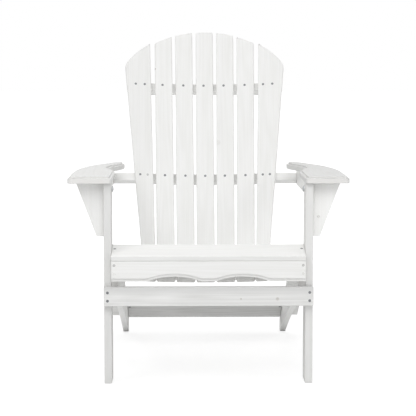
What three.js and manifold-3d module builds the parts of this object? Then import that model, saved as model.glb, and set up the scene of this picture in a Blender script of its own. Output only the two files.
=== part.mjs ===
// Adirondack chair: a painted softwood garden chair with a hollowed fan back of seven slats.
// Millimetres, +Z up. The sitter faces -Y. The origin is on the ground, in the middle of the footprint.
import * as THREE from "three";
import { mergeVertices } from "three/addons/utils/BufferGeometryUtils.js";
import Module from "manifold-3d";

const wasm = await Module();
wasm.setup();

// Timber stock
const legThick = 19.2;
const railThick = 17;
const boardThick = 18; // arms and the pieces under them
const frontBoardThick = 20; // apron and stretcher
const slatThick = 12;
const fit = 0.3; // gap left between faces that touch

// Front legs and the boards across them
const acrossLegs = 537; // over the outer faces
const legDepth = 76;
const armHeight = 519; // ground to the underside of the arms
const stretcherHeight = 49;
const stretcherBelowApron = 14;
const apronHeight = 52;
const apronBelowNose = 5.7; // the apron stops short of the front seat slat
const scallopWidth = 136;
const scallopRise = 11;
const scallopFromMiddle = 90;

// Edge routed round the arms and along the apron
const routStep = 5;
const routInset = 6;
const apronRoutRise = 8; // how far the routed face stands above the apron's lower edge

// Side rails, seen from the side: y from the front of the legs, z from the ground
const noseHeight = 325.7; // top of the rail at its front end
const crestDepth = 70;
const crestHeight = 342;
const seatDepth = 366; // crest to the foot of the back
const seatDrop = 125;
const railFrontHeight = 94; // depth of the rail's front end
const railNoseRadius = 30;
const bellyDepth = 370; // point that pulls the curve of the underside
const bellyHeight = 142;
const toeDepth = 754;
const toeEase = 15; // the underside flattens out before it meets the ground
const toeEaseHeight = 7;
const heelDepth = 783;

// Seat
const frontSlatWidth = 92;
const seatSlatCount = 5; // behind the front slat, and of one width
const seatSlatGap = 9;
const crestGap = 7;
const backGap = 13.7; // left open between the last slat and the foot of the back

// Back, in its own tilted frame: u up the slats from the side rails, v rearwards from their front faces.
// The slats are laid out flat, then set round a hollow that is a shallow arc from side to side.
const recline = THREE.MathUtils.degToRad(27.9);
const backHollow = 1500;
const slatTouch = 260; // height at which the middle of each slat meets the arc
const backHeight = 788; // top of the middle slat
const slatTail = 16.4; // how far the slats run below the seat
const crownRadius = 290;
const wingLift = 8; // the two outer slats stand higher than the arc of the others
const shoulderRadius = 13;
const slatWidth = 52;
const slatPitchFoot = 56.6;
const slatPitchCrown = 62.3;
const wingGapFoot = 2.6;
const wingGapCrown = 14.6;
const backWidthFoot = 350;
const backWidthCrown = 500; // the outer edges carried on up to the height of the crown
const railSection = 24; // the three back rails, up the slats
const railDepth = 26; // at the middle of the chair
const topRailHeight = 616.5; // upper edge of the rail
const topRailLength = 440;
const middleRailBelowArm = 34.5; // the arms' undersides to the middle of the rail's ends
const bowWidth = 390; // the middle rail runs straight outside this

// Arms, seen from above: x from the middle of the chair, y from the front of the legs
const acrossArms = 720;
const armFront = -14;
const armInside = 2.3; // past the inner faces of the legs
const armCorner = 12;
const armStraight = 150; // where the outer edge starts to curve in
const armEnd = 532;
const armShoulder = new THREE.Vector2(42, 125); // in from the outer edge and forward of the end
const armHip = new THREE.Vector2(77, 42);
const scoopStart = 190;
const scoopMiddle = 325;
const scoopDepth = 24;
const scoopEase = 0.45; // how far the curves run on into the scoop
const tipEase = 0.4;
const tipInside = 14;
const tipRound = 24;
const tipBow = 4; // the tip's end is slightly bowed

// Pieces under the arms
const bracketSetBack = 26;
const bracketTopWidth = 71.5;
const bracketFootWidth = 19.5;
const bracketHeight = 139;
const armRailHeight = 54;
const armRailRadius = 24;
const armRailPastBack = 4;

// Board across the heels
const tieWidth = 112;
const tieThick = 16;
const tieFromHeel = 36; // measured along the slope of the rails
const tieOverhang = 36;
const tieRebate = 6.5;

// Bolts and coach screws
const boltRadius = 3.9;
const boltClearance = 0.3;
const domeRadius = 8.4;
const domeHeight = 4.2;
const nutAcrossFlats = 13;
const nutHeight = 6.5;
const coachHeadHeight = 5.3;
const coachBite = 13; // how far a coach screw goes into a leg
const endGrainBite = 42; // how far it goes into the end of a rail
const coachTip = 5;
const washerRadius = 8.5;
const washerThick = 1.6;
const boltPastNut = 2.5;
const armBoltFromTop = 19;
const armBoltFromRear = 16;
const legScrews = [
  new THREE.Vector2(22, 300),
  new THREE.Vector2(54, 272),
];
const curveSteps = 10;
const roundSteps = 20;
const domeSteps = 6;
const overrun = 1; // how far a cutting tool runs past the faces it cuts

// Values that follow from those above
const legOuter = acrossLegs / 2;
const legInner = legOuter - legThick;
const railOuter = legInner - fit;
const railInner = railOuter - railThick;
const armOuter = acrossArms / 2;
const armInner = legInner - armInside;
const underArm = armHeight - fit;
const junction = new THREE.Vector2(crestDepth + seatDepth, crestHeight - seatDrop);
const heelHeight = junction.y - (heelDepth - junction.x) * Math.tan(recline); // square to the back
const slatBack = slatThick + fit;
const apronTop = noseHeight - apronBelowNose;
const apronBottom = apronTop - apronHeight;
const stretcherTop = apronBottom - stretcherBelowApron;
const seatLength = Math.hypot(seatDepth, seatDrop) - crestGap - backGap;
const seatSlatWidth = (seatLength + seatSlatGap) / seatSlatCount - seatSlatGap;

const timber = { color: 0xf1f0ec, roughness: 0.6, metalness: 0 };
const zinc = { color: 0xb4b7ba, roughness: 0.42, metalness: 0.9 };

function piece(name, geometry, finish) {
  const mesh = new THREE.Mesh(geometry, new THREE.MeshStandardMaterial(finish));
  mesh.name = name;
  return mesh;
}

function toSolid(geometry) {
  const bare = geometry.clone();
  bare.deleteAttribute("normal");
  bare.deleteAttribute("uv");
  const merged = mergeVertices(bare, 1e-3);
  const vertProperties = merged.attributes.position.array;
  const triVerts = new Uint32Array(merged.index.array);
  return new wasm.Manifold(new wasm.Mesh({ numProp: 3, vertProperties, triVerts }));
}

function toGeometry(solid) {
  const mesh = solid.getMesh();
  const geometry = new THREE.BufferGeometry();
  geometry.setAttribute("position", new THREE.BufferAttribute(mesh.vertProperties, 3));
  geometry.setIndex(new THREE.BufferAttribute(mesh.triVerts, 1));
  geometry.computeVertexNormals();
  return geometry;
}

function join(...geometries) {
  const [first, ...rest] = geometries.map(toSolid);
  return toGeometry(rest.reduce((whole, part) => whole.add(part), first));
}

function cut(geometry, ...tools) {
  return toGeometry(tools.map(toSolid).reduce((left, tool) => left.subtract(tool), toSolid(geometry)));
}

function extrude(shape, depth) {
  return new THREE.ExtrudeGeometry(shape, { depth, bevelEnabled: false, curveSegments: curveSteps });
}

// A board cut to a side view: the shape's x is y, its y is z, and the thickness runs along +X from zero.
function sideBoard(shape, thickness) {
  const turn = new THREE.Matrix4().makeBasis(
    new THREE.Vector3(0, 1, 0),
    new THREE.Vector3(0, 0, 1),
    new THREE.Vector3(1, 0, 0),
  );
  return extrude(shape, thickness).applyMatrix4(turn);
}

// A board cut to a front view: the shape's y is z, and the thickness runs along +Y from zero.
function frontBoard(shape, thickness) {
  return extrude(shape, thickness).rotateX(Math.PI / 2).translate(0, thickness, 0);
}

function box(width, depth, height) {
  return new THREE.BoxGeometry(width, depth, height);
}

// A cylinder along +X, from xStart to xEnd.
function rod(radius, xStart, xEnd) {
  const cylinder = new THREE.CylinderGeometry(radius, radius, xEnd - xStart, roundSteps);
  return cylinder.rotateZ(-Math.PI / 2).translate((xStart + xEnd) / 2, 0, 0);
}

// A hole for a bolt, along +X through the point (y, z).
function boltHole(at, xStart, xEnd) {
  return rod(boltRadius + boltClearance, xStart, xEnd).translate(0, at.x, at.y);
}

// From the back's tilted frame to the side view.
function onBack(u, v) {
  return new THREE.Vector2(
    junction.x + u * Math.sin(recline) + v * Math.cos(recline),
    junction.y + u * Math.cos(recline) - v * Math.sin(recline),
  );
}

// Where the edges of the slats stand at the foot and at the crown: five of one width and a wing each side.
function slatEdges() {
  const half = slatWidth / 2;
  const wingFoot = 2 * slatPitchFoot + half + wingGapFoot;
  const wingCrown = 2 * slatPitchCrown + half + wingGapCrown;
  const inner = [-2, -1, 0, 1, 2].map((i) => ({
    foot: [i * slatPitchFoot - half, i * slatPitchFoot + half],
    crown: [i * slatPitchCrown - half, i * slatPitchCrown + half],
  }));
  const right = { foot: [wingFoot, backWidthFoot / 2], crown: [wingCrown, backWidthCrown / 2] };
  const left = { foot: [-backWidthFoot / 2, -wingFoot], crown: [-backWidthCrown / 2, -wingCrown] };
  return [left, ...inner, right];
}

function slatMiddle({ foot, crown }) {
  const atFoot = (foot[0] + foot[1]) / 2;
  const atCrown = (crown[0] + crown[1]) / 2;
  return THREE.MathUtils.mapLinear(slatTouch, -slatTail, backHeight, atFoot, atCrown);
}

// A face sawn to the hollow, at a depth behind the slats' fronts and out to a distance each side.
// It has one flat for each slat.
function hollowFace(depth, reach) {
  const radius = backHollow + depth;
  const turns = slatEdges().map((slat) => slatMiddle(slat) / backHollow);
  const between = turns.slice(1).map((turn, i) => {
    const bisector = (turn + turns[i]) / 2;
    const corner = radius / Math.cos((turn - turns[i]) / 2);
    return new THREE.Vector2(corner * Math.sin(bisector), corner * Math.cos(bisector) - backHollow);
  });
  const last = turns[turns.length - 1];
  const along = (reach - radius * Math.sin(last)) / Math.cos(last);
  const end = radius * Math.cos(last) - along * Math.sin(last) - backHollow;
  return [new THREE.Vector2(-reach, end), ...between, new THREE.Vector2(reach, end)];
}

const bowFront = hollowFace(slatBack, bowWidth / 2)[0].y;
const bowMiddle = bowFront + railDepth / 2;
const middleRailLift = armHeight - middleRailBelowArm - junction.y;
const middleRailUp = (middleRailLift + bowMiddle * Math.sin(recline)) / Math.cos(recline);
const middleRailEnd = onBack(middleRailUp, bowMiddle);
const armBolt = new THREE.Vector2(legDepth - armBoltFromRear, armHeight - armBoltFromTop);

// Side rails -----------------------------------------------------------------

// The rail carries the seat on its falling top edge and runs on down to the rear foot.
function sideRailShape() {
  const nose = noseHeight - railFrontHeight;
  const shape = new THREE.Shape();
  shape.moveTo(fit, noseHeight);
  shape.lineTo(fit, nose + railNoseRadius);
  shape.quadraticCurveTo(fit, nose, railNoseRadius, nose);
  shape.quadraticCurveTo(bellyDepth, bellyHeight, toeDepth - toeEase, toeEaseHeight);
  shape.lineTo(toeDepth, 0);
  shape.lineTo(heelDepth, 0);
  shape.lineTo(heelDepth, heelHeight);
  shape.lineTo(junction.x, junction.y);
  shape.lineTo(crestDepth, crestHeight);
  shape.closePath();
  return shape;
}

function sideRail() {
  const board = sideBoard(sideRailShape(), railThick);
  return cut(board, ...legScrews.map((at) => boltHole(at, -overrun, railThick + overrun)));
}

// Front legs -----------------------------------------------------------------

function frontLeg() {
  const board = box(legThick, legDepth, underArm).translate(legThick / 2, legDepth / 2, underArm / 2);
  const blindHoles = legScrews.map((at) => boltHole(at, -overrun, coachBite + boltClearance));
  return cut(board, ...blindHoles, boltHole(armBolt, -overrun, legThick + overrun));
}

// Arms -----------------------------------------------------------------------

// Broad at the front, then drawn in on the outside and scooped on the inside to a narrow tip.
function armShape() {
  const shoulder = new THREE.Vector2(armOuter - armShoulder.x, armEnd - armShoulder.y);
  const hip = new THREE.Vector2(armOuter - armHip.x, armEnd - armHip.y);
  const tip = armInner - tipInside;
  const tipStart = armEnd - tipRound;
  const scoop = armInner + scoopDepth;
  const shape = new THREE.Shape();
  shape.moveTo(armInner + armCorner, armFront);
  shape.lineTo(armOuter - armCorner, armFront);
  shape.quadraticCurveTo(armOuter, armFront, armOuter, armFront + armCorner);
  shape.lineTo(armOuter, armStraight);
  const along = shoulder.y - armStraight;
  const leave = shoulder.clone().sub(hip).setLength(along / 4).add(shoulder);
  shape.bezierCurveTo(armOuter, armStraight + along / 3, leave.x, leave.y, shoulder.x, shoulder.y);
  shape.lineTo(hip.x, hip.y);
  shape.quadraticCurveTo(hip.x - tipRound / 2, armEnd - tipBow, tip + tipRound / 2, armEnd);
  shape.quadraticCurveTo(tip, armEnd, tip, tipStart);
  const rise = tipStart - scoopMiddle;
  const fall = scoopMiddle - scoopStart;
  const ease = fall * scoopEase;
  shape.bezierCurveTo(tip, tipStart - rise / 3, scoop, scoopMiddle + rise * tipEase, scoop, scoopMiddle);
  shape.bezierCurveTo(scoop, scoopMiddle - ease, armInner, scoopStart + ease, armInner, scoopStart);
  shape.lineTo(armInner, armFront + armCorner);
  shape.quadraticCurveTo(armInner, armFront, armInner + armCorner, armFront);
  return shape;
}

// The same outline moved inwards by a distance, each corner along the line that halves its angle.
function inset(shape, distance) {
  const outline = shape.extractPoints(curveSteps).shape;
  const corners = outline.filter((point, i) => i === 0 || point.distanceTo(outline[i - 1]) > 0.01);
  if (corners[0].distanceTo(corners[corners.length - 1]) < 0.01) corners.pop();
  const inward = THREE.ShapeUtils.isClockWise(corners) ? -1 : 1;
  const moved = corners.map((corner, i) => {
    const before = corners[(i + corners.length - 1) % corners.length];
    const after = corners[(i + 1) % corners.length];
    const arriving = corner.clone().sub(before).normalize();
    const leaving = after.clone().sub(corner).normalize();
    const bisector = new THREE.Vector2(-arriving.y - leaving.y, arriving.x + leaving.x).normalize();
    const reach = distance / (bisector.x * -arriving.y + bisector.y * arriving.x);
    return corner.clone().addScaledVector(bisector, inward * reach);
  });
  return new THREE.Shape(moved);
}

function arm() {
  const outline = armShape();
  return join(extrude(outline, boardThick - routStep), extrude(inset(outline, routInset), boardThick));
}

// A tapered board that stands across the leg's outer face and props the arm's overhang.
function armBracket() {
  const shape = new THREE.Shape();
  shape.moveTo(0, underArm - bracketHeight);
  shape.lineTo(bracketFootWidth, underArm - bracketHeight);
  shape.lineTo(bracketTopWidth, underArm);
  shape.lineTo(0, underArm);
  shape.closePath();
  return frontBoard(shape, boardThick);
}

// The batten that carries the arm from the leg back to the end of the middle back rail.
function armRail() {
  const front = bracketSetBack + boardThick + fit;
  const rear = onBack(middleRailUp + railSection / 2, bowFront + railDepth).x + armRailPastBack;
  const lower = armHeight - armRailHeight;
  const shape = new THREE.Shape();
  shape.moveTo(front, lower);
  shape.lineTo(rear - armRailRadius, lower);
  shape.quadraticCurveTo(rear, lower, rear, lower + armRailRadius);
  shape.lineTo(rear, underArm);
  shape.lineTo(front, underArm);
  shape.closePath();
  const holes = [armBolt, middleRailEnd].map((at) => boltHole(at, -overrun, boardThick + overrun));
  return cut(sideBoard(shape, boardThick), ...holes);
}

// Fasteners, all along +X from the face that the head or nut bears on -----------------------------

function hexagon(acrossFlats) {
  const corner = acrossFlats / Math.sqrt(3);
  const points = Array.from({ length: 6 }, (_, i) => {
    const angle = (i * Math.PI) / 3;
    return new THREE.Vector2(corner * Math.cos(angle), corner * Math.sin(angle));
  });
  return new THREE.Shape(points);
}

function ring(outline, holeRadius, thickness) {
  outline.holes.push(new THREE.Path().absarc(0, 0, holeRadius, 0, Math.PI * 2, true));
  return extrude(outline, thickness).rotateY(Math.PI / 2);
}

function washer() {
  const disc = new THREE.Shape().absarc(0, 0, washerRadius, 0, Math.PI * 2, false);
  return ring(disc, boltRadius + boltClearance, washerThick);
}

function nut() {
  return ring(hexagon(nutAcrossFlats), boltRadius + boltClearance, nutHeight);
}

// Domed head behind zero, plain shank in front of it.
function carriageBolt(length) {
  const dome = Array.from({ length: domeSteps + 1 }, (_, i) => {
    const angle = (i / domeSteps) * (Math.PI / 2);
    return new THREE.Vector2(domeRadius * Math.sin(angle), -domeHeight * Math.cos(angle));
  });
  dome[0].x = 0;
  const profile = [
    ...dome,
    new THREE.Vector2(boltRadius, 0),
    new THREE.Vector2(boltRadius, length),
    new THREE.Vector2(0, length),
  ];
  return new THREE.LatheGeometry(profile, roundSteps).rotateZ(-Math.PI / 2);
}

// Hexagon head behind zero, shank with a tapered tip in front of it.
function coachScrew(length) {
  const head = extrude(hexagon(nutAcrossFlats), coachHeadHeight).rotateY(Math.PI / 2);
  head.translate(-coachHeadHeight, 0, 0);
  const profile = [
    new THREE.Vector2(0, -coachHeadHeight / 2),
    new THREE.Vector2(boltRadius, -coachHeadHeight / 2),
    new THREE.Vector2(boltRadius, length - coachTip),
    new THREE.Vector2(boltRadius / 3, length),
    new THREE.Vector2(0, length),
  ];
  return join(head, new THREE.LatheGeometry(profile, roundSteps).rotateZ(-Math.PI / 2));
}

// A coach screw and its washer on a face at x, driven towards +X (direction 1) or -X (direction -1).
function coachSet(name, at, x, direction, bite) {
  const screw = piece(name + "_screw", coachScrew(washerThick + fit + bite), zinc);
  const under = piece(name + "_washer", washer(), zinc);
  screw.position.x = -washerThick - fit;
  under.position.x = -washerThick;
  const group = new THREE.Group();
  group.add(screw, under);
  group.rotation.y = direction > 0 ? 0 : Math.PI;
  group.position.set(x - direction * fit, at.x, at.y);
  return group;
}

// One side of the chair, built on +X. The other side is its mirror image.
function side(hand) {
  const group = new THREE.Group();

  const rail = piece("side_rail_" + hand, sideRail(), timber);
  rail.position.x = railInner;

  const leg = piece("front_leg_" + hand, frontLeg(), timber);
  leg.position.x = legInner;

  const top = piece("arm_" + hand, arm(), timber);
  top.position.z = armHeight;

  const bracket = piece("arm_bracket_" + hand, armBracket(), timber);
  bracket.position.set(legOuter + fit, bracketSetBack, 0);

  const under = piece("arm_rail_" + hand, armRail(), timber);
  under.position.x = legOuter + fit;
  group.add(rail, leg, top, bracket, under);

  const through = legThick + fit + boardThick + fit;
  const boltLength = fit + through + washerThick + fit + nutHeight + boltPastNut;
  const bolt = piece("arm_bolt_" + hand, carriageBolt(boltLength), zinc);
  bolt.position.set(legInner - fit, armBolt.x, armBolt.y);
  const boltWasher = piece("arm_bolt_washer_" + hand, washer(), zinc);
  boltWasher.position.set(legInner + through, armBolt.x, armBolt.y);
  const boltNut = piece("arm_bolt_nut_" + hand, nut(), zinc);
  boltNut.position.set(legInner + through + washerThick + fit, armBolt.x, armBolt.y);
  group.add(bolt, boltWasher, boltNut);

  const legBite = railThick + fit + coachBite;
  group.add(coachSet("leg_upper_" + hand, legScrews[0], railInner, 1, legBite));
  group.add(coachSet("leg_lower_" + hand, legScrews[1], railInner, 1, legBite));
  const armRailOuter = legOuter + fit + boardThick;
  group.add(coachSet("back_middle_" + hand, middleRailEnd, armRailOuter, -1, boardThick + endGrainBite));
  return group;
}

// Boards across the front -------------------------------------------------------

// Outline of the apron, with its lower edge and the two scallops in it raised by a given amount.
function apronShape(width, raise) {
  const half = width / 2;
  const shape = new THREE.Shape();
  shape.moveTo(-half, apronTop);
  shape.lineTo(-half, apronBottom + raise);
  for (const middle of [-scallopFromMiddle, scallopFromMiddle]) {
    const quarter = scallopWidth / 4;
    const level = apronBottom + raise;
    shape.lineTo(middle - scallopWidth / 2, level);
    shape.bezierCurveTo(
      middle - quarter, level,
      middle - quarter, level + scallopRise,
      middle, level + scallopRise,
    );
    shape.bezierCurveTo(
      middle + quarter, level + scallopRise,
      middle + quarter, level,
      middle + scallopWidth / 2, level,
    );
  }
  shape.lineTo(half, apronBottom + raise);
  shape.lineTo(half, apronTop);
  shape.closePath();
  return shape;
}

function apron() {
  const width = railOuter * 2;
  const back = frontBoard(apronShape(width, 0), frontBoardThick - routStep).translate(0, routStep, 0);
  const face = frontBoard(apronShape(width, apronRoutRise), frontBoardThick);
  return join(back, face);
}

function frontBoards() {
  const group = new THREE.Group();
  group.position.y = -frontBoardThick;
  const stretcherPiece = piece("front_stretcher", box(acrossLegs, frontBoardThick, stretcherHeight), timber);
  stretcherPiece.position.set(0, frontBoardThick / 2 - fit, stretcherTop - stretcherHeight / 2);
  group.add(piece("apron", apron(), timber), stretcherPiece);
  return group;
}

// Seat ----------------------------------------------------------------------------

// Slats laid on a line from one point of the side view to another, each clear of the rails by the fit.
function seatSlats(from, towards, widths, gap, nameOf) {
  const group = new THREE.Group();
  group.position.set(0, from.x, from.y);
  group.rotation.x = Math.atan2(towards.y - from.y, towards.x - from.x);
  let start = gap;
  widths.forEach((width, i) => {
    const slat = piece(nameOf(i), box(railOuter * 2, width, slatThick), timber);
    slat.position.set(0, start + width / 2, fit + slatThick / 2);
    group.add(slat);
    start += width + seatSlatGap;
  });
  return group;
}

function seat() {
  const crest = new THREE.Vector2(crestDepth, crestHeight);
  const nose = new THREE.Vector2(0, noseHeight);
  const rise = new THREE.Vector2().subVectors(crest, nose);
  const frontEdge = crest.clone().addScaledVector(rise.normalize(), -frontSlatWidth);
  const group = new THREE.Group();
  group.add(seatSlats(frontEdge, crest, [frontSlatWidth], 0, () => "front_seat_slat"));
  const widths = Array(seatSlatCount).fill(seatSlatWidth);
  group.add(seatSlats(crest, junction, widths, crestGap, (i) => "seat_slat_" + (i + 1)));
  return group;
}

// Back ------------------------------------------------------------------------------

// Height of a crown's arc at a distance from the middle, from the height of its centre.
function crownAt(x, centre) {
  return centre + Math.sqrt(crownRadius ** 2 - x ** 2);
}

function edgeAt(footX, crownX, u) {
  return THREE.MathUtils.mapLinear(u, -slatTail, backHeight, footX, crownX);
}

// Where a slat's edge, a straight line up from its foot, meets the crown.
function meetCrown(footX, crownX, centre) {
  let u = backHeight;
  for (let step = 0; step < 12; step += 1) {
    u = crownAt(edgeAt(footX, crownX, u), centre);
  }
  return new THREE.Vector2(edgeAt(footX, crownX, u), u);
}

// Carries a shape along the crown's arc to a point of it.
function followCrown(shape, to, centre) {
  const from = shape.currentPoint;
  const start = Math.atan2(from.y - centre, from.x);
  const end = Math.atan2(to.y - centre, to.x);
  shape.absarc(0, centre, crownRadius, start, end, end < start);
}

// A slat laid out flat, cut to the crown. A wing is rounded where its outer edge meets the crown.
function slatShape({ foot, crown }, wing) {
  const centre = backHeight - crownRadius + Math.abs(wing) * wingLift;
  const left = meetCrown(foot[0], crown[0], centre);
  const right = meetCrown(foot[1], crown[1], centre);
  const below = wing > 0 ? right.y - shoulderRadius : left.y - shoulderRadius;
  const shape = new THREE.Shape();
  shape.moveTo(foot[0], -slatTail);
  shape.lineTo(foot[1], -slatTail);
  if (wing > 0) {
    const past = right.x - shoulderRadius;
    shape.lineTo(edgeAt(foot[1], crown[1], below), below);
    shape.quadraticCurveTo(right.x, right.y, past, crownAt(past, centre));
  } else {
    shape.lineTo(right.x, right.y);
  }
  if (wing < 0) {
    const past = left.x + shoulderRadius;
    followCrown(shape, new THREE.Vector2(past, crownAt(past, centre)), centre);
    shape.quadraticCurveTo(left.x, left.y, edgeAt(foot[0], crown[0], below), below);
  } else {
    followCrown(shape, left, centre);
  }
  shape.lineTo(foot[0], -slatTail);
  return shape;
}

// The flat slat is turned about the axis of the hollow until its middle touches the arc.
function backSlat(edges, i, slats) {
  const wing = i === 0 ? -1 : Number(i === slats.length - 1);
  const middle = slatMiddle(edges);
  const board = frontBoard(slatShape(edges, wing), slatThick).translate(-middle, backHollow, 0);
  return board.rotateZ(-middle / backHollow).translate(0, -backHollow, 0);
}

// A rail across the slats with a straight back.
function flatRail(length) {
  const front = hollowFace(slatBack, length / 2);
  const rear = slatBack + railDepth;
  const corners = [new THREE.Vector2(length / 2, rear), new THREE.Vector2(-length / 2, rear)];
  return extrude(new THREE.Shape([...front, ...corners]), railSection);
}

// A rail bowed round the slats, with straight ends that reach the arm rails and take their coach screws.
function bowedRail() {
  const half = acrossLegs / 2;
  const front = hollowFace(slatBack, bowWidth / 2);
  const rear = front.map((point) => new THREE.Vector2(point.x, point.y + railDepth)).reverse();
  const rightEnd = [new THREE.Vector2(half, bowFront), new THREE.Vector2(half, bowFront + railDepth)];
  const leftEnd = [new THREE.Vector2(-half, bowFront + railDepth), new THREE.Vector2(-half, bowFront)];
  const bow = extrude(new THREE.Shape([...front, ...rightEnd, ...rear, ...leftEnd]), railSection);
  const bite = endGrainBite + boltClearance;
  const holes = [half - bite, -half - overrun].map((start) => {
    const hole = rod(boltRadius + boltClearance, start, start + bite + overrun);
    return hole.translate(0, bowMiddle, railSection / 2);
  });
  return cut(bow, ...holes);
}

function back() {
  const group = new THREE.Group();
  group.position.set(0, junction.x, junction.y);
  group.rotation.x = -recline;
  const slats = slatEdges().map(backSlat);
  slats.forEach((slat, i) => group.add(piece("back_slat_" + (i + 1), slat, timber)));
  const top = piece("top_back_rail", flatRail(topRailLength), timber);
  top.position.z = topRailHeight - railSection;
  const middle = piece("middle_back_rail", bowedRail(), timber);
  middle.position.z = middleRailUp - railSection / 2;
  const lower = piece("lower_back_rail", flatRail(2 * railOuter), timber);
  lower.position.z = fit;
  group.add(top, middle, lower);
  return group;
}

// Board across the heels ----------------------------------------------------------------

// Its ends are rebated to sit down over the side rails.
function heelTie() {
  const heel = new THREE.Vector2(heelDepth, heelHeight);
  const slope = Math.atan2(heel.y - junction.y, heel.x - junction.x);
  const inside = railInner - fit;
  const length = 2 * (railOuter + tieOverhang);
  const board = box(length, tieWidth, tieThick);
  const pad = box(2 * inside, tieWidth, tieRebate + overrun);
  pad.translate(0, 0, (overrun - tieThick - tieRebate) / 2);
  const tie = piece("heel_tie", join(board, pad), timber);
  tie.position.set(0, -tieFromHeel - tieWidth / 2, fit + tieThick / 2);
  const group = new THREE.Group();
  group.position.set(0, heel.x, heel.y);
  group.rotation.x = slope;
  group.add(tie);
  return group;
}

const chair = new THREE.Group();
const leftSide = side("left");
leftSide.scale.x = -1;
chair.add(leftSide, side("right"), frontBoards(), seat(), back(), heelTie());

// The footprint is centred on the origin.
const extent = new THREE.Box3().setFromObject(chair, true);
chair.position.y = -(extent.min.y + extent.max.y) / 2;

export default chair;
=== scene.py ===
import math
import random

import bmesh
import bpy
from mathutils import Matrix, Vector
from mathutils.bvhtree import BVHTree


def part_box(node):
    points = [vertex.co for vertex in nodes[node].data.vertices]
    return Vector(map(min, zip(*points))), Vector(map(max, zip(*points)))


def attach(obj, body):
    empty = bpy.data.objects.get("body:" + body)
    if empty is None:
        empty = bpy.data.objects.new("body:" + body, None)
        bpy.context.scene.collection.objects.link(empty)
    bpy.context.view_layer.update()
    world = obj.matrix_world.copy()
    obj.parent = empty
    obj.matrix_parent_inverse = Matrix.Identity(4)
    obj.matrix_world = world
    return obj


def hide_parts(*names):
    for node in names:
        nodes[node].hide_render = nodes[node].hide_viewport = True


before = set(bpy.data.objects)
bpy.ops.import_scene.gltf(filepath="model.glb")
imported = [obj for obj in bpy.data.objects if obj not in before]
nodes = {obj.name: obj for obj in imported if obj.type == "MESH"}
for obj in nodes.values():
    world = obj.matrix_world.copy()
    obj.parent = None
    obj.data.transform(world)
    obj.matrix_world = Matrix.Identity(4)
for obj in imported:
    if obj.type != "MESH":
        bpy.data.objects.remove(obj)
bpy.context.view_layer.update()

mm = 0.001
right, rearward, upward = Vector((1, 0, 0)), Vector((0, 1, 0)), Vector((0, 0, 1))
print("frame loaded:", len(nodes), "nodes")


# Camera: a long lens a little above the arms, looking slightly down

camera = {
    "lens": 133.9,
    "fromLegs": Vector((-0.066, -3.935, 0.849)),  # from the front of the legs, on the ground
    "lookDown": 5.71,  # degrees
    "turn": -0.94,
    "seesTo": 60.0,
}

lens = bpy.data.cameras.new("camera")
lens.lens = camera["lens"]
lens.clip_end = camera["seesTo"]
viewpoint = bpy.data.objects.new("camera", lens)
viewpoint.location = camera["fromLegs"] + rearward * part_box("front_leg_left")[0].y
tilt = Matrix.Rotation(math.radians(90 - camera["lookDown"]), 4, "X")
turn = Matrix.Rotation(math.radians(camera["turn"]), 4, "Z")
viewpoint.rotation_euler = (turn @ tilt).to_euler()
bpy.context.scene.collection.objects.link(viewpoint)
bpy.context.scene.camera = viewpoint
print("camera placed")


def linear(hexColour):
    channels = [int(hexColour[i:i + 2], 16) / 255 for i in (1, 3, 5)]
    return tuple(c / 12.92 if c <= 0.04045 else ((c + 0.055) / 1.055) ** 2.4
                 for c in channels) + (1,)


def addNode(tree, kind, links=None, **settings):
    node = tree.nodes.new(kind)
    for key, value in settings.items():
        setattr(node, key, value)
    for name, value in (links or {}).items():
        if isinstance(value, bpy.types.NodeSocket):
            tree.links.new(value, node.inputs[name])
        else:
            node.inputs[name].default_value = value
    return node


def newMaterial(name):
    material = bpy.data.materials.new(name)
    material.use_nodes = True
    material.node_tree.nodes.clear()
    return material, material.node_tree


def newPiece(name, mesh, material):
    mesh.materials.append(material)
    piece = bpy.data.objects.new(name, mesh)
    bpy.context.scene.collection.objects.link(piece)
    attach(piece, "root")
    return piece


# Pine boards sprayed with satin white exterior paint. The coat is thin, so the grain stands up
# through it, end grain drinks it and goes duller, and the arrises wear a shade darker.

paintedPine = {
    "colour": "#F4F4F3",
    "streakColour": "#EEEEEC",
    "toneSpan": (0.34, 0.66),  # the part of the grain's range that runs from colour to streak
    "ior": 1.5,
    "specular": 0.3,
    "roughness": 0.72,
    "endGrainRoughness": 0.85,
    "roughnessPlay": 0.06,
    "shift": 3.0,  # so that no two boards show the same grain
    "streak": (210 * mm, 3.2 * mm, 3.2 * mm),  # growth rings: nearer 2 mm, but drawn wide to show
    "figure": (700 * mm, 55 * mm, 55 * mm),  # cathedral figure of a plain-sawn board
    "figureLines": 60.0,
    "figureShare": 0.2,
    "patch": (160 * mm, 45 * mm, 45 * mm),  # thicker and thinner places in the sprayed coat
    "patchShare": 0.35,
    "fibre": (14 * mm, 0.7 * mm, 0.7 * mm),  # fibres: nearer 0.1 mm, drawn coarse to show
    "fibreRelief": 0.15,
    "grainRelief": 0.05 * mm,
    "knotColour": "#B9B5AE",
    "knotSwirl": 0.05,
    "wornColour": "#DCDBD8",
    "wornWidth": 2.2 * mm,
    "wornSamples": 4,
    "wornSpan": (0.98, 0.75),  # cosines between the rounded normal and the true one
    "wornShare": 0.45,
    # Painted shade: a darker colour where other surfaces are near, found by ambient occlusion
    "paintedShadeColour": "#B4B3B0",
    "paintedShadeReach": 30 * mm,
    "paintedShadeSamples": 8,
    "paintedShadeSpan": (0.75, 0.15),
    "paintedShadeShare": 0.35,
    "endColour": "#E6E5E3",
    "endSpan": (0.7, 0.95),  # cosines between a face and the grain
}

# How the seat and its nose fall, as run and rise in mm, and how far the back leans
seatFall = (366, 125)
noseFall = (70, 16.3)
backLean = math.radians(27.9)

seatSlope = math.atan2(seatFall[1], seatFall[0])
noseSlope = math.atan2(noseFall[1], noseFall[0])
backUp = Vector((0, math.sin(backLean), math.cos(backLean)))
backFace = Vector((0, -math.cos(backLean), math.sin(backLean)))
railRun = Vector((0, math.cos(seatSlope), -math.sin(seatSlope)))

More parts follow.
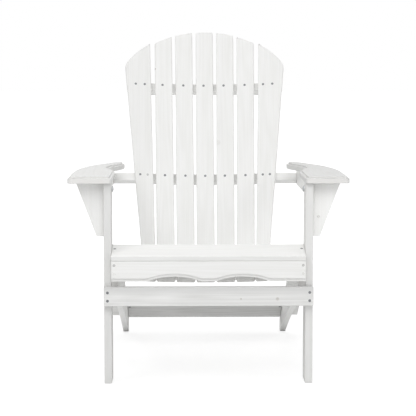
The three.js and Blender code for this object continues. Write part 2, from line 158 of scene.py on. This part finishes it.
# Which way the grain runs in each kind of board, and which way its broad face looks
boards = {
    "front_leg": (upward, right),
    "side_rail": (railRun, right),
    "arm_bracket": (upward, -rearward),
    "arm_rail": (rearward, right),
    "arm_left": (rearward, upward),
    "arm_right": (rearward, upward),
    "apron": (right, -rearward),
    "front_stretcher": (right, -rearward),
    "front_seat_slat": (right, Vector((0, -math.sin(noseSlope), math.cos(noseSlope)))),
    "seat_slat": (right, Vector((0, math.sin(seatSlope), math.cos(seatSlope)))),
    "back_slat": (backUp, backFace),
    "top_back_rail": (right, backFace),
    "middle_back_rail": (right, backFace),
    "lower_back_rail": (right, backFace),
    "heel_tie": (right, backUp),
}

# Some boards are darker or lighter than the rest: a share of the colour. On the left wing it is
# painted shade, and on the right bracket and the side rails painted light; the legs, arms,
# stretcher and seat's nose are simply made darker
lightAndToneShares = {
    "front_leg_left": 0.85,
    "front_leg_right": 0.9,
    "side_rail": 1.06,
    "front_stretcher": 0.94,
    "arm_left": 0.84,
    "arm_right": 0.78,
    "arm_bracket_right": 1.08,
    "front_seat_slat": 0.985,
    "back_slat_1": 0.97,
}

# Boards with a patchier coat: a further share of the colour in the streaks
patchyCoats = {"front_stretcher": 0.89, "heel_tie": 0.87}

# Painted shade under the seat's nose: boards made darker over their upper half, a further share of
# the colour at the top edge
shadedTops = {"front_stretcher": 0.78}

# The knots that show through the paint (place and radius in mm, then how strongly each shows),
# and what any other board may have
knots = {
    "shown": {
        "apron": [],
        "front_seat_slat": [],
        "front_stretcher": [(82.7, -417.0, 223.4, 2.2, 0.55), (176.2, -417.0, 223.1, 3.6, 0.6)],
        "back_slat_2": [(-149.0, 334.0, 807.0, 2.8, 0.8)],
        "back_slat_5": [(38.0, 235.0, 587.0, 7.0, 0.14)],
        "back_slat_6": [],
    },
    "most": 1,
    "radius": (2.2 * mm, 4.0 * mm),
    "show": 0.5,
    "spread": (0.4, 0.3),  # shares of the board's length and width, from its middle
    "edge": (1.6, 0.6),  # shares of the radius between which a knot fades in
}


# The board's colour times its share, which on some boards is painted light or painted shade
def tonedAndLit(hexColour, nodeName, share=1.0):
    share *= next((coat for kind, coat in lightAndToneShares.items() if nodeName.startswith(kind)), 1.0)
    return tuple(channel * share for channel in linear(hexColour)[:3]) + (1,)


def knotsOf(nodeName, along, across, draw):
    if nodeName in knots["shown"]:
        return [(Vector(spot[:3]) * mm, spot[3] * mm, spot[4]) for spot in knots["shown"][nodeName]]
    low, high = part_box(nodeName)
    length = abs((high - low).dot(along)) * knots["spread"][0]
    width = abs((high - low).dot(across)) * knots["spread"][1]
    spots = []
    for _ in range(draw.randint(0, knots["most"])):
        centre = (low + high) / 2
        centre += along * draw.uniform(-length, length) + across * draw.uniform(-width, width)
        spots.append((centre, draw.uniform(*knots["radius"]), knots["show"]))
    return spots


# Knots go straight through the board, so each is a distance in its broad face alone
def maskKnots(tree, place, face, spots):
    mask = 0.0
    for centre, radius, show in spots:
        offset = addNode(tree, "ShaderNodeVectorMath", {0: place, 1: centre},
                         operation="SUBTRACT").outputs[0]
        deep = addNode(tree, "ShaderNodeVectorMath", {0: offset, 1: face}, operation="PROJECT")
        inFace = addNode(tree, "ShaderNodeVectorMath", {0: offset, 1: deep.outputs[0]},
                         operation="SUBTRACT")
        away = addNode(tree, "ShaderNodeVectorMath", {0: inFace.outputs[0]}, operation="LENGTH")
        knot = addNode(tree, "ShaderNodeMapRange",
                       {"Value": away.outputs["Value"], "From Min": radius * knots["edge"][0],
                        "From Max": radius * knots["edge"][1], "To Max": show},
                       interpolation_type="SMOOTHSTEP")
        mask = addNode(tree, "ShaderNodeMath", {0: mask, 1: knot.outputs["Result"]},
                       operation="MAXIMUM").outputs[0]
    return mask


def paintBoard(nodeName, along, face, seed):
    look = paintedPine
    material, tree = newMaterial("painted_pine_" + nodeName)
    draw = random.Random(seed)
    across = face.cross(along)
    turn = Matrix((along, across, face)).transposed().to_euler()
    shift = [draw.uniform(-look["shift"], look["shift"]) for _ in range(3)]
    place = addNode(tree, "ShaderNodeTexCoord").outputs["Object"]
    knotMask = maskKnots(tree, place, face, knotsOf(nodeName, along, across, draw))

    # Each pattern is turned to the board's grain and drawn out along it
    spaces = {}
    for pattern in ("streak", "figure", "patch", "fibre"):
        links = {"Vector": place, "Location": shift, "Rotation": turn, "Scale": look[pattern]}
        mapping = addNode(tree, "ShaderNodeMapping", links, vector_type="TEXTURE")
        spaces[pattern] = mapping.outputs["Vector"]
    streak = addNode(tree, "ShaderNodeTexNoise",
                     {"Vector": spaces["streak"], "Scale": 1.0, "Detail": 3.0, "Roughness": 0.55})
    figure = addNode(tree, "ShaderNodeTexNoise",
                     {"Vector": spaces["figure"], "Scale": 1.0, "Detail": 1.0})
    patch = addNode(tree, "ShaderNodeTexNoise",
                    {"Vector": spaces["patch"], "Scale": 1.0, "Detail": 2.0})
    fibre = addNode(tree, "ShaderNodeTexNoise",
                    {"Vector": spaces["fibre"], "Scale": 1.0, "Detail": 2.0})

    # The rings are bent round the knots
    swirl = addNode(tree, "ShaderNodeMath",
                    {0: knotMask, 1: look["knotSwirl"], 2: figure.outputs["Fac"]},
                    operation="MULTIPLY_ADD")
    lines = addNode(tree, "ShaderNodeMath", {0: swirl.outputs[0], 1: look["figureLines"]},
                    operation="MULTIPLY")
    rings = addNode(tree, "ShaderNodeMath", {0: lines.outputs[0]}, operation="SINE")
    ringTone = addNode(tree, "ShaderNodeMapRange",
                       {"Value": rings.outputs[0], "From Min": -1.0, "From Max": 1.0})
    grain = addNode(tree, "ShaderNodeMix",
                    {"Factor": look["figureShare"], "A": streak.outputs["Fac"],
                     "B": ringTone.outputs["Result"]}, data_type="FLOAT")

    cover = addNode(tree, "ShaderNodeMix",
                    {"Factor": look["patchShare"], "A": grain.outputs["Result"],
                     "B": patch.outputs["Fac"]}, data_type="FLOAT")
    tone = addNode(tree, "ShaderNodeMapRange",
                   {"Value": cover.outputs["Result"], "From Min": look["toneSpan"][0],
                    "From Max": look["toneSpan"][1]})
    streakColour = tonedAndLit(look["streakColour"], nodeName, patchyCoats.get(nodeName, 1.0))
    painted = addNode(tree, "ShaderNodeMix",
                      {"Factor": tone.outputs["Result"], "A": tonedAndLit(look["colour"], nodeName),
                       "B": streakColour}, data_type="RGBA")
    # Painted shade: the board goes darker over its upper half, towards its top edge
    if nodeName in shadedTops:
        low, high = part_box(nodeName)
        height = addNode(tree, "ShaderNodeSeparateXYZ", {"Vector": place}).outputs["Z"]
        nearTop = addNode(tree, "ShaderNodeMapRange",
                          {"Value": height, "From Min": (low.z + high.z) / 2,
                           "From Max": high.z})
        topShadeColour = tonedAndLit(look["colour"], nodeName, shadedTops[nodeName])
        painted = addNode(tree, "ShaderNodeMix",
                          {"Factor": nearTop.outputs["Result"], "A": painted.outputs["Result"],
                           "B": topShadeColour}, data_type="RGBA")
    knotted = addNode(tree, "ShaderNodeMix",
                      {"Factor": knotMask, "A": painted.outputs["Result"],
                       "B": linear(look["knotColour"])}, data_type="RGBA")

    # The arrises: where a rounded normal leaves the true one
    surface = addNode(tree, "ShaderNodeNewGeometry")
    rounded = addNode(tree, "ShaderNodeBevel", {"Radius": look["wornWidth"]},
                      samples=look["wornSamples"])
    facing = addNode(tree, "ShaderNodeVectorMath",
                     {0: rounded.outputs["Normal"], 1: surface.outputs["Normal"]},
                     operation="DOT_PRODUCT")
    worn = addNode(tree, "ShaderNodeMapRange",
                   {"Value": facing.outputs["Value"], "From Min": look["wornSpan"][0],
                    "From Max": look["wornSpan"][1], "To Max": look["wornShare"]})
    rubbed = addNode(tree, "ShaderNodeMath",
                     {0: worn.outputs["Result"], 1: streak.outputs["Fac"]}, operation="MULTIPLY")
    edged = addNode(tree, "ShaderNodeMix",
                    {"Factor": rubbed.outputs[0], "A": knotted.outputs["Result"],
                     "B": linear(look["wornColour"])}, data_type="RGBA")

    # Painted shade: the colour goes darker where ambient occlusion finds other surfaces near, in
    # the gaps between boards and under the arms
    corner = addNode(tree, "ShaderNodeAmbientOcclusion", {"Distance": look["paintedShadeReach"]},
                     samples=look["paintedShadeSamples"])
    gapShade = addNode(tree, "ShaderNodeMapRange",
                  {"Value": corner.outputs["AO"], "From Min": look["paintedShadeSpan"][0],
                   "From Max": look["paintedShadeSpan"][1], "To Max": look["paintedShadeShare"]})
    shadedColour = addNode(tree, "ShaderNodeMix",
                    {"Factor": gapShade.outputs["Result"], "A": edged.outputs["Result"],
                     "B": linear(look["paintedShadeColour"])}, data_type="RGBA")

    # End grain looks along the grain
    endOn = addNode(tree, "ShaderNodeVectorMath", {0: surface.outputs["True Normal"], 1: along},
                    operation="DOT_PRODUCT")
    endFace = addNode(tree, "ShaderNodeMath", {0: endOn.outputs["Value"]}, operation="ABSOLUTE")
    endGrain = addNode(tree, "ShaderNodeMapRange",
                       {"Value": endFace.outputs[0], "From Min": look["endSpan"][0],
                        "From Max": look["endSpan"][1]})
    ended = addNode(tree, "ShaderNodeMix",
                    {"Factor": endGrain.outputs["Result"], "A": shadedColour.outputs["Result"],
                     "B": linear(look["endColour"])}, data_type="RGBA")

    dryness = addNode(tree, "ShaderNodeMapRange",
                      {"Value": endGrain.outputs["Result"], "To Min": look["roughness"],
                       "To Max": look["endGrainRoughness"]})
    uneven = addNode(tree, "ShaderNodeMapRange",
                     {"Value": fibre.outputs["Fac"], "To Min": -look["roughnessPlay"],
                      "To Max": look["roughnessPlay"]})
    roughness = addNode(tree, "ShaderNodeMath",
                        {0: dryness.outputs["Result"], 1: uneven.outputs["Result"]},
                        operation="ADD")

    relief = addNode(tree, "ShaderNodeMix",
                     {"Factor": look["fibreRelief"], "A": grain.outputs["Result"],
                      "B": fibre.outputs["Fac"]}, data_type="FLOAT")
    dimpled = addNode(tree, "ShaderNodeMath", {0: relief.outputs["Result"], 1: knotMask},
                      operation="SUBTRACT")
    bump = addNode(tree, "ShaderNodeBump",
                   {"Height": dimpled.outputs[0], "Distance": look["grainRelief"],
                    "Strength": 1.0})
    shader = addNode(tree, "ShaderNodeBsdfPrincipled",
                     {"Base Color": ended.outputs["Result"], "Roughness": roughness.outputs[0],
                      "IOR": look["ior"], "Specular IOR Level": look["specular"],
                      "Normal": bump.outputs["Normal"]})
    addNode(tree, "ShaderNodeOutputMaterial", {"Surface": shader.outputs["BSDF"]})
    return material


# Bright zinc plate over steel, on the bolts and coach screws: barrel-plated, so it is a little
# blotchy and dull, with fine handling scratches.

zincPlate = {
    "colour": "#C6C8CA",
    "bloomColour": "#ABADAF",
    "roughness": 0.42,
    "roughnessPlay": 0.12,
    "bloom": 2.2 * mm,
    "scratch": (6 * mm, 0.25 * mm, 0.25 * mm),
    "scratchRelief": 0.01 * mm,
}

# The small screws are phosphated steel under a mist of the white spray, which leaves them mid grey
mistedSteel = dict(zincPlate, colour="#8E9092", bloomColour="#77797B", roughness=0.5)

# Heads that more of the spray reached: half covered they are pale grey, fully covered near white
streakedSteel = dict(zincPlate, colour="#CACAC9", bloomColour="#B2B2B1", roughness=0.6)
coveredSteel = dict(zincPlate, colour="#E6E6E4", bloomColour="#CFCFCD", roughness=0.7)


def plateSteel(name, look):
    material, tree = newMaterial(name)
    place = addNode(tree, "ShaderNodeTexCoord").outputs["Object"]
    bloomSpace = addNode(tree, "ShaderNodeMapping",
                         {"Vector": place, "Scale": (look["bloom"],) * 3}, vector_type="TEXTURE")
    bloom = addNode(tree, "ShaderNodeTexNoise",
                    {"Vector": bloomSpace.outputs["Vector"], "Scale": 1.0, "Detail": 3.0})
    colour = addNode(tree, "ShaderNodeMix",
                     {"Factor": bloom.outputs["Fac"], "A": linear(look["colour"]),
                      "B": linear(look["bloomColour"])}, data_type="RGBA")
    dull = addNode(tree, "ShaderNodeMapRange",
                   {"Value": bloom.outputs["Fac"],
                    "To Min": look["roughness"] - look["roughnessPlay"],
                    "To Max": look["roughness"] + look["roughnessPlay"]})
    scratchSpace = addNode(tree, "ShaderNodeMapping", {"Vector": place, "Scale": look["scratch"]},
                           vector_type="TEXTURE")
    scratch = addNode(tree, "ShaderNodeTexNoise",
                      {"Vector": scratchSpace.outputs["Vector"], "Scale": 1.0, "Detail": 2.0})
    bump = addNode(tree, "ShaderNodeBump",
                   {"Height": scratch.outputs["Fac"], "Distance": look["scratchRelief"],
                    "Strength": 1.0})
    shader = addNode(tree, "ShaderNodeBsdfPrincipled",
                     {"Base Color": colour.outputs["Result"], "Metallic": 1.0,
                      "Roughness": dull.outputs["Result"], "Normal": bump.outputs["Normal"]})
    addNode(tree, "ShaderNodeOutputMaterial", {"Surface": shader.outputs["BSDF"]})
    return material


# Eased edges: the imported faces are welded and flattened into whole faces, and every arris is
# rounded. The first name that a board's name starts with gives its radius.

easing = {
    "weld": 0.005 * mm,
    "smoothUnder": math.radians(25),
    "flatUnder": math.radians(0.4),
    "roundOver": math.radians(28),
    "radius": {"back_slat": 3.5 * mm, "front_seat_slat": 0.9 * mm, "apron": 0.9 * mm,
               "": 1.6 * mm},
    "steps": 3,
}


def cleanFaces():
    group = bpy.data.node_groups.new("clean faces", "GeometryNodeTree")
    group.interface.new_socket("Geometry", in_out="INPUT", socket_type="NodeSocketGeometry")
    group.interface.new_socket("Geometry", in_out="OUTPUT", socket_type="NodeSocketGeometry")
    start = addNode(group, "NodeGroupInput")
    bare = addNode(group, "GeometryNodeRemoveAttribute",
                   {"Geometry": start.outputs[0], "Name": "custom_normal"})
    welded = addNode(group, "GeometryNodeMergeByDistance",
                     {"Geometry": bare.outputs[0], "Distance": easing["weld"]})
    smooth = addNode(group, "GeometryNodeSetShadeSmooth", {"Geometry": welded.outputs[0]},
                     domain="FACE")
    bend = addNode(group, "GeometryNodeInputMeshEdgeAngle")
    sharp = addNode(group, "FunctionNodeCompare",
                    {"A": bend.outputs["Unsigned Angle"], "B": easing["smoothUnder"]},
                    operation="GREATER_THAN")
    marked = addNode(group, "GeometryNodeSetShadeSmooth",
                     {"Geometry": smooth.outputs[0], "Selection": sharp.outputs["Result"],
                      "Shade Smooth": False}, domain="EDGE")
    addNode(group, "NodeGroupOutput", {0: marked.outputs[0]})
    return group


def easeEdges(piece, nodeName, cleaning):
    clean = piece.modifiers.new("clean", "NODES")
    clean.node_group = cleaning
    flats = piece.modifiers.new("flats", "DECIMATE")
    flats.decimate_type = "DISSOLVE"
    flats.angle_limit = easing["flatUnder"]
    arris = piece.modifiers.new("arris", "BEVEL")
    arris.width = next(radius for start, radius in easing["radius"].items()
                       if nodeName.startswith(start))
    arris.segments = easing["steps"]
    arris.limit_method = "ANGLE"
    arris.angle_limit = easing["roundOver"]
    arris.use_clamp_overlap = False
    arris.harden_normals = True


zinc = plateSteel("zinc_plate", zincPlate)
cleaning = cleanFaces()
for seed, nodeName in enumerate(sorted(nodes)):
    piece = nodes[nodeName]
    kind = next((start for start in boards if nodeName.startswith(start)), None)
    if kind:
        piece.data.materials[0] = paintBoard(nodeName, *boards[kind], seed)
        easeEdges(piece, nodeName, cleaning)
    else:
        piece.data.materials[0] = zinc
print("boards painted, bolts plated")


# The apron's two scallops are full, flat-topped arches with short curves at their ends, and a
# 5 mm step is routed along its lower edge

apron = {
    "rise": 12.4 * mm,
    "width": 148 * mm,
    "fromMiddle": 88 * mm,
    "handles": (0.43, 0.32),  # shares of an arch's width, from its middle
    "taller": 1.1 * mm,  # closes the joint under the seat's nose
    "step": 5 * mm,
    "band": 8 * mm,
    "points": 16,
}


# Each half of an arch is one Bezier curve, from its foot at half the width to its middle
def scallopedEdge(half):
    look = apron
    edge = [(-half, 0.0)]
    for middle in (-look["fromMiddle"], look["fromMiddle"]):
        curve = []
        for i in range(look["points"] + 1):
            t = i / look["points"]
            weights = ((1 - t) ** 3, 3 * t * (1 - t) ** 2, 3 * t * t * (1 - t))
            out = sum(w * h for w, h in zip(weights, (0.5,) + look["handles"]))
            curve.append((out * look["width"], (3 * t * t * (1 - t) + t ** 3) * look["rise"]))
        edge += [(middle - x, z) for x, z in curve]
        edge += [(middle + x, z) for x, z in reversed(curve[:-1])]
    return edge + [(half, 0.0)]


def cutApron():
    look = apron
    low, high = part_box("apron")
    top, ledge = high.z + look["taller"], low.y + look["step"]
    shape = bmesh.new()
    rings = []
    for x, z in scallopedEdge(high.x):
        edge = low.z + z
        upper = edge + look["band"]
        corners = [(low.y, top), (low.y, upper), (ledge, upper), (ledge, edge),
                   (high.y, edge), (high.y, top)]
        rings.append([shape.verts.new((x, y, height)) for y, height in corners])
    for ring, nextRing in zip(rings, rings[1:]):
        for i in range(len(ring)):
            j = (i + 1) % len(ring)
            shape.faces.new((ring[i], ring[j], nextRing[j], nextRing[i]))
    shape.faces.new(rings[0])
    shape.faces.new(rings[-1])
    bmesh.ops.recalc_face_normals(shape, faces=shape.faces)
    mesh = bpy.data.meshes.new("scalloped apron")
    shape.to_mesh(mesh)
    shape.free()
    return mesh


apronPaint = nodes["apron"].data.materials[0]
apronBoard = newPiece("scalloped_apron", cutApron(), apronPaint)
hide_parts("apron")
easeEdges(apronBoard, "apron", cleaning)
print("apron cut")


# Small screws: countersunk heads with a cross recess, driven flush

screw = {
    "headRadius": 3.6 * mm,
    "proud": 0.45 * mm,
    "rim": 0.25 * mm,
    "sunk": 0.5 * mm,
    "crossLength": 2.1 * mm,
    "crossWidth": 0.95 * mm,
    "crossTaper": 0.8,
    "crossDepth": 0.38 * mm,
    "pitTaper": 0.75,
    "sides": 24,
}


def screwHead():
    look = screw
    shape = bmesh.new()
    top = look["proud"]

    def loop(points, height):
        return [shape.verts.new((x, y, height)) for x, y in points]

    def wall(lower, upper):
        for i, vert in enumerate(lower):
            j = (i + 1) % len(lower)
            shape.faces.new((vert, lower[j], upper[j], upper[i]))

    def circle(radius):
        turns = [2 * math.pi * i / look["sides"] for i in range(look["sides"])]
        return [(radius * math.cos(t), radius * math.sin(t)) for t in turns]

    half, reach = look["crossWidth"] / 2, look["crossLength"]
    tip = half * look["crossTaper"]
    cross = []
    for quarter in range(4):
        spin = Matrix.Rotation(quarter * math.pi / 2, 2)
        cross += [tuple(spin @ Vector(point))
                  for point in ((reach, -tip), (reach, tip), (half, half))]

    under = loop(circle(look["headRadius"]), -look["sunk"])
    side = loop(circle(look["headRadius"]), top - look["rim"])
    crown = loop(circle(look["headRadius"] - look["rim"]), top)
    mouth = loop(cross, top)
    pit = loop([(x * look["pitTaper"], y * look["pitTaper"]) for x, y in cross],
               top - look["crossDepth"])
    wall(under, side)
    wall(side, crown)
    wall(mouth, pit)
    shape.faces.new(list(reversed(under)))
    shape.faces.new(pit)
    edges = [shape.edges.get((ring[i], ring[(i + 1) % len(ring)]))
             for ring in (crown, mouth) for i in range(len(ring))]
    bmesh.ops.triangle_fill(shape, edges=edges, use_beauty=True)
    bmesh.ops.recalc_face_normals(shape, faces=shape.faces)
    mesh = bpy.data.meshes.new("screw head")
    shape.to_mesh(mesh)
    shape.free()
    return mesh


def surfaceOf(nodeName):
    mesh = nodes[nodeName].data
    return BVHTree.FromPolygons([v.co for v in mesh.vertices], [p.vertices for p in mesh.polygons])


def driveScrews(name, places, head, material):
    row = bmesh.new()
    draw = random.Random(name)
    for nodeName, start, towards in places:
        point, normal = surfaceOf(nodeName).ray_cast(start, towards)[:2]
        if point is None:
            raise RuntimeError(name + " misses " + nodeName)
        spin = Matrix.Rotation(draw.uniform(0, math.pi), 4, "Z")
        stand = normal.to_track_quat("Z", "Y").to_matrix().to_4x4()
        before = len(row.verts)
        row.from_mesh(head)
        row.verts.ensure_lookup_table()
        bmesh.ops.transform(row, matrix=Matrix.Translation(point) @ stand @ spin,
                            verts=row.verts[before:])
    mesh = bpy.data.meshes.new(name)
    row.to_mesh(mesh)
    row.free()
    return newPiece(name, mesh, material)


def middleOf(nodeName):
    low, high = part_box(nodeName)
    return (low + high) / 2


# Where the screws go, in mm: across from the middle of the chair, up from the ground, and for
# each row of the back, by the number of the slat
backScrews = {
    "top": {1: [-205.8, -179.0], 2: [-126.0], 3: [-63.8], 4: [-3.0], 5: [57.0], 6: [119.8],
            7: [175.0, 202.6]},
    "middle": {1: [-189.8, -168.2], 2: [-117.8], 3: [-58.0], 4: [0.0], 5: [57.5], 6: [117.8],
               7: [168.1, 188.8]},
    "lower": {1: [-157.0], 2: [-113.6], 3: [-56.8], 4: [0.0], 5: [56.8], 6: [113.6], 7: [157.0]},
}
rowLift = {"top": 1.2 * mm, "middle": 1.8 * mm, "lower": 0.0}
seatScrews = {"across": 241.5, "noseDepth": -362.0}  # the nose is screwed to the side rails' ends
frontScrews = {
    "apron": {"across": 241.7, "heights": [288.4, 310.2]},
    "front_stretcher": {"across": 258.8, "heights": [218.6, 239.9]},
    "heel_tie": {"across": 225.2, "heights": [91.0]},
}
bracketScrew = {"across": 283.3, "height": 430.9}
streakedScrew = ("middle", -168.2)  # the one in the back that more of the spray reached
standOff = {"back": 120 * mm, "front": 60 * mm}  # each screw is aimed from this far off its board

mistedHeads = plateSteel("phosphated_steel", mistedSteel)
streakedHeads = plateSteel("streaked_steel", streakedSteel)
coveredHeads = plateSteel("painted_over_steel", coveredSteel)
head = screwHead()
frontPlaces, streakedPlaces, coveredPlaces = [], [], []

for rail, slats in backScrews.items():
    centre = middleOf(rail + "_back_rail") + backUp * rowLift[rail]
    places = []
    for number, across in slats.items():
        for x in across:
            start = Vector((x * mm, centre.y, centre.z)) + backFace * standOff["back"]
            place = ("back_slat_%d" % number, start, -backFace)
            if (rail, x) == streakedScrew:
                streakedPlaces.append(place)
            else:
                places.append(place)
    driveScrews(rail + "_rail_screws", places, head, mistedHeads)

seatPlaces = []
for nodeName in ["front_seat_slat"] + ["seat_slat_%d" % i for i in range(1, 6)]:
    centre = middleOf(nodeName)
    y = seatScrews["noseDepth"] * mm if nodeName == "front_seat_slat" else centre.y
    for x in (-seatScrews["across"], seatScrews["across"]):
        start = Vector((x * mm, y, centre.z + standOff["front"]))
        seatPlaces.append((nodeName, start, -upward))
driveScrews("seat_screws", seatPlaces, head, mistedHeads)

for nodeName, spec in frontScrews.items():
    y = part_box(nodeName)[0].y - standOff["front"]
    for x in (-spec["across"], spec["across"]):
        row = [(nodeName, Vector((x * mm, y, z * mm)), rearward) for z in spec["heights"]]
        if nodeName == "apron":
            coveredPlaces.append(row[0])
            streakedPlaces.append(row[1])
        else:
            frontPlaces += row
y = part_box("arm_bracket_right")[0].y - standOff["front"]
bracketStart = Vector((bracketScrew["across"] * mm, y, bracketScrew["height"] * mm))
coveredPlaces.append(("arm_bracket_right", bracketStart, rearward))
driveScrews("front_screws", frontPlaces, head, mistedHeads)
driveScrews("streaked_screws", streakedPlaces, head, streakedHeads)
driveScrews("painted_screws", coveredPlaces, head, coveredHeads)
print("screws driven")


# Floor: round the chair it shows a faint shadow, and further out it runs into plain white

floor = {
    "size": 60.0,
    "colour": "#F4F4F4",
    "near": 0.7,
    "far": 2.2,
    "nearGlow": 0.76,
    "shadowShare": 0.38,
}

# Soft studio lamps, all aimed at the middle of the chair, in plain white surroundings
aimPoint = Vector((0, 0, 0.45))
lamps = {
    "frontSoftbox": {"at": (0.0, -3.6, 3.0), "size": 2.0, "watts": 51},
    "leftSoftbox": {"at": (-1.8, -1.7, 3.1), "size": 1.3, "watts": 23},
    "rightSoftbox": {"at": (3.2, -1.7, 2.4), "size": 1.6, "watts": 14},
    "behind": {"at": (0.0, 2.6, 3.2), "size": 2.0, "watts": 36},
    "bounceCard": {"at": (0.0, 2.2, 0.06), "size": 1.6, "watts": 9},
}
surroundings = {"colour": (1, 1, 1, 1), "ambient": 0.5, "seen": 1.0}


def seenRays(tree):
    rays = addNode(tree, "ShaderNodeLightPath")
    some = addNode(tree, "ShaderNodeMath",
                   {0: rays.outputs["Is Camera Ray"], 1: rays.outputs["Is Glossy Ray"]},
                   operation="MAXIMUM")
    every = addNode(tree, "ShaderNodeMath",
                    {0: some.outputs[0], 1: rays.outputs["Is Transmission Ray"]},
                    operation="MAXIMUM")
    return every.outputs[0]


def layFloor():
    half = floor["size"] / 2
    corners = [(-half, -half, 0), (half, -half, 0), (half, half, 0), (-half, half, 0)]
    mesh = bpy.data.meshes.new("floor")
    mesh.from_pydata(corners, [], [(0, 1, 2, 3)])
    material, tree = newMaterial("white_sweep")
    colour = linear(floor["colour"])
    faintColour = tuple(channel * floor["shadowShare"] for channel in colour[:3]) + (1,)
    real = addNode(tree, "ShaderNodeBsdfDiffuse", {"Color": colour})
    faint = addNode(tree, "ShaderNodeBsdfDiffuse", {"Color": faintColour})
    place = addNode(tree, "ShaderNodeTexCoord").outputs["Object"]
    out = addNode(tree, "ShaderNodeVectorMath", {0: place}, operation="LENGTH")
    white = addNode(tree, "ShaderNodeMapRange",
                    {"Value": out.outputs["Value"], "From Min": floor["near"],
                     "From Max": floor["far"], "To Min": floor["nearGlow"], "To Max": 1.0},
                    interpolation_type="SMOOTHSTEP")
    glow = addNode(tree, "ShaderNodeEmission", {"Strength": white.outputs["Result"]})
    seen = addNode(tree, "ShaderNodeAddShader", {0: faint.outputs[0], 1: glow.outputs[0]})
    either = addNode(tree, "ShaderNodeMixShader",
                     {0: seenRays(tree), 1: real.outputs[0], 2: seen.outputs[0]})
    addNode(tree, "ShaderNodeOutputMaterial", {"Surface": either.outputs[0]})
    mesh.materials.append(material)
    sweep = bpy.data.objects.new("floor", mesh)
    bpy.context.scene.collection.objects.link(sweep)


def lightWorld():
    sky = bpy.data.worlds.new("white studio")
    bpy.context.scene.world = sky
    sky.use_nodes = True
    tree = sky.node_tree
    tree.nodes.clear()
    ambient = addNode(tree, "ShaderNodeBackground",
                      {"Color": surroundings["colour"], "Strength": surroundings["ambient"]})
    white = addNode(tree, "ShaderNodeBackground",
                    {"Color": surroundings["colour"], "Strength": surroundings["seen"]})
    either = addNode(tree, "ShaderNodeMixShader",
                     {0: seenRays(tree), 1: ambient.outputs[0], 2: white.outputs[0]})
    addNode(tree, "ShaderNodeOutputWorld", {"Surface": either.outputs[0]})


def hangLamps():
    for name, spec in lamps.items():
        lamp = bpy.data.lights.new(name, "AREA")
        lamp.size = spec["size"]
        lamp.energy = spec["watts"]
        hung = bpy.data.objects.new(name, lamp)
        hung.location = spec["at"]
        hung.rotation_euler = (aimPoint - hung.location).to_track_quat("-Z", "Y").to_euler()
        hung.visible_camera = False
        bpy.context.scene.collection.objects.link(hung)


layFloor()
lightWorld()
hangLamps()
bpy.context.scene.view_settings.view_transform = "Standard"
print("floor and lights set")
